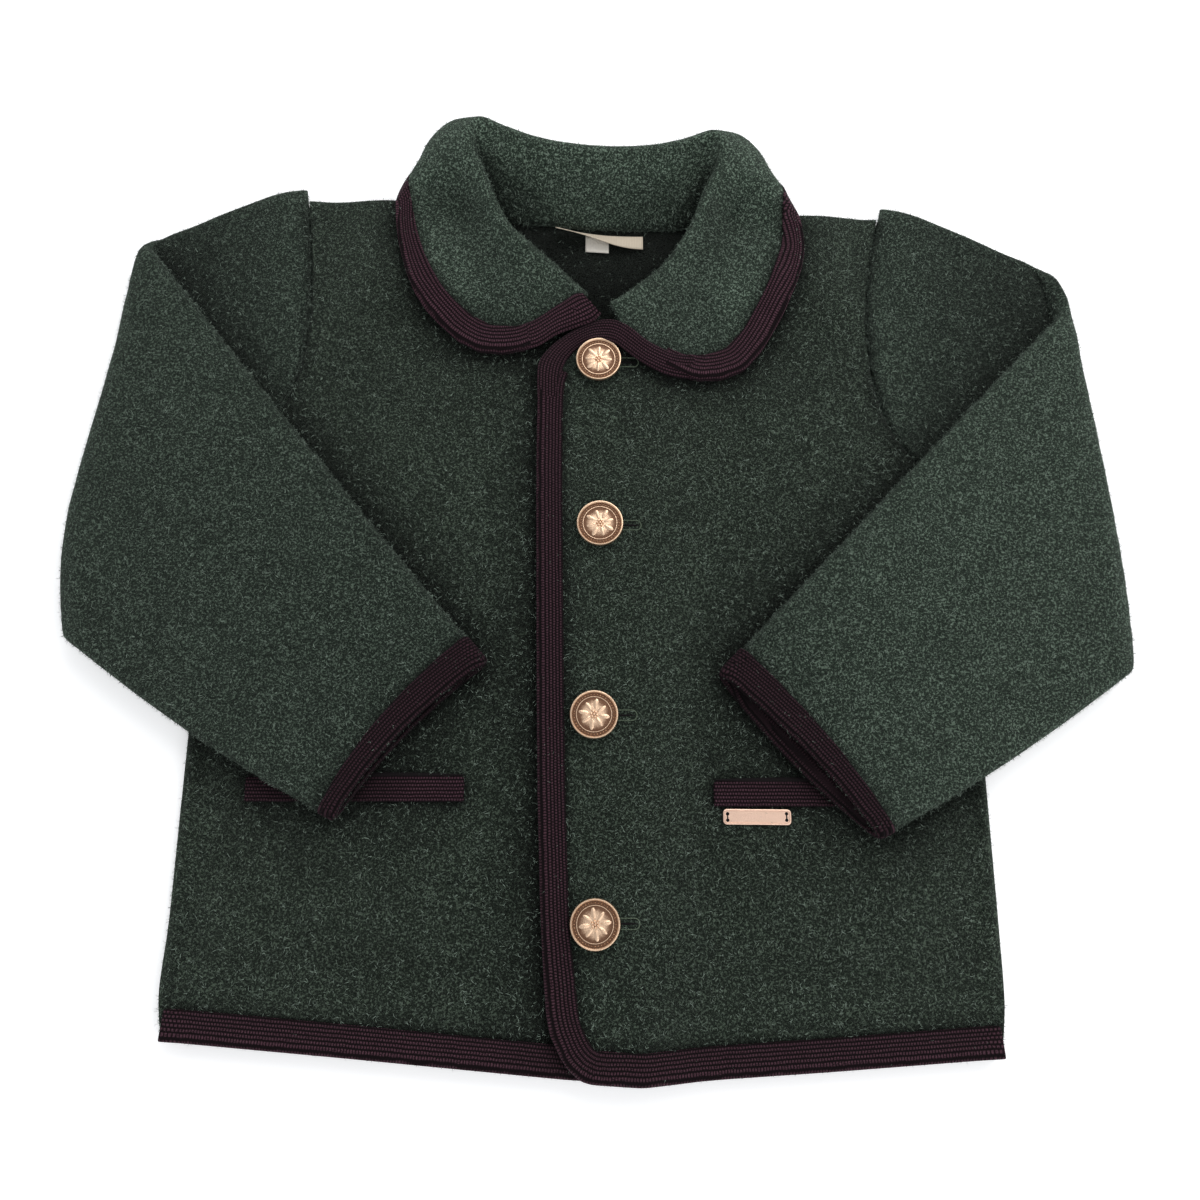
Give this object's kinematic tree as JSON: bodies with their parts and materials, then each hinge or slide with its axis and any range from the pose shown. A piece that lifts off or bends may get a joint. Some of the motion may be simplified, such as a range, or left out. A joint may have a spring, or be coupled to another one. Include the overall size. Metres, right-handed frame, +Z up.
{
  "type": "tyrolean loden jacket",
  "caption": "Child's boiled-wool folk jacket, buttoned and laid flat: turned-down collar, sleeves folded over the fronts, contrast braid edging, welt pockets and metal shank buttons.",
  "frame": {"origin": "on the surface it lies on, below the middle of its bounding box", "axes": "+X to the wearer's left, +Y from the hem to the collar, +Z up from the surface it lies on"},
  "size_m": [0.4502, 0.41, 0.0338],
  "materials": {
    "loden": "matt felted melange",
    "braid": "matt ribbed knit",
    "button_metal": "antique, satin",
    "plate_metal": "satin",
    "label_woven": "woven",
    "label_white": "woven"
  },
  "bodies": {
    "root": {"back": "loden", "front_right": "loden", "front_left": "loden", "sleeve_right": "loden", "sleeve_left": "loden", "collar": "loden", "collar_braid": "braid", "braid_front_left": "braid", "braid_front_right": "braid", "braid_back": "braid", "cuff_braid_right": "braid", "cuff_braid_left": "braid", "pocket_welt_right": "braid", "pocket_welt_left": "braid", "name_plate": "plate_metal", "button_1": "button_metal", "button_2": "button_metal", "button_3": "button_metal", "button_4": "button_metal", "neck_label": "label_woven", "size_label": "label_white"}
  },
  "joints": []
}
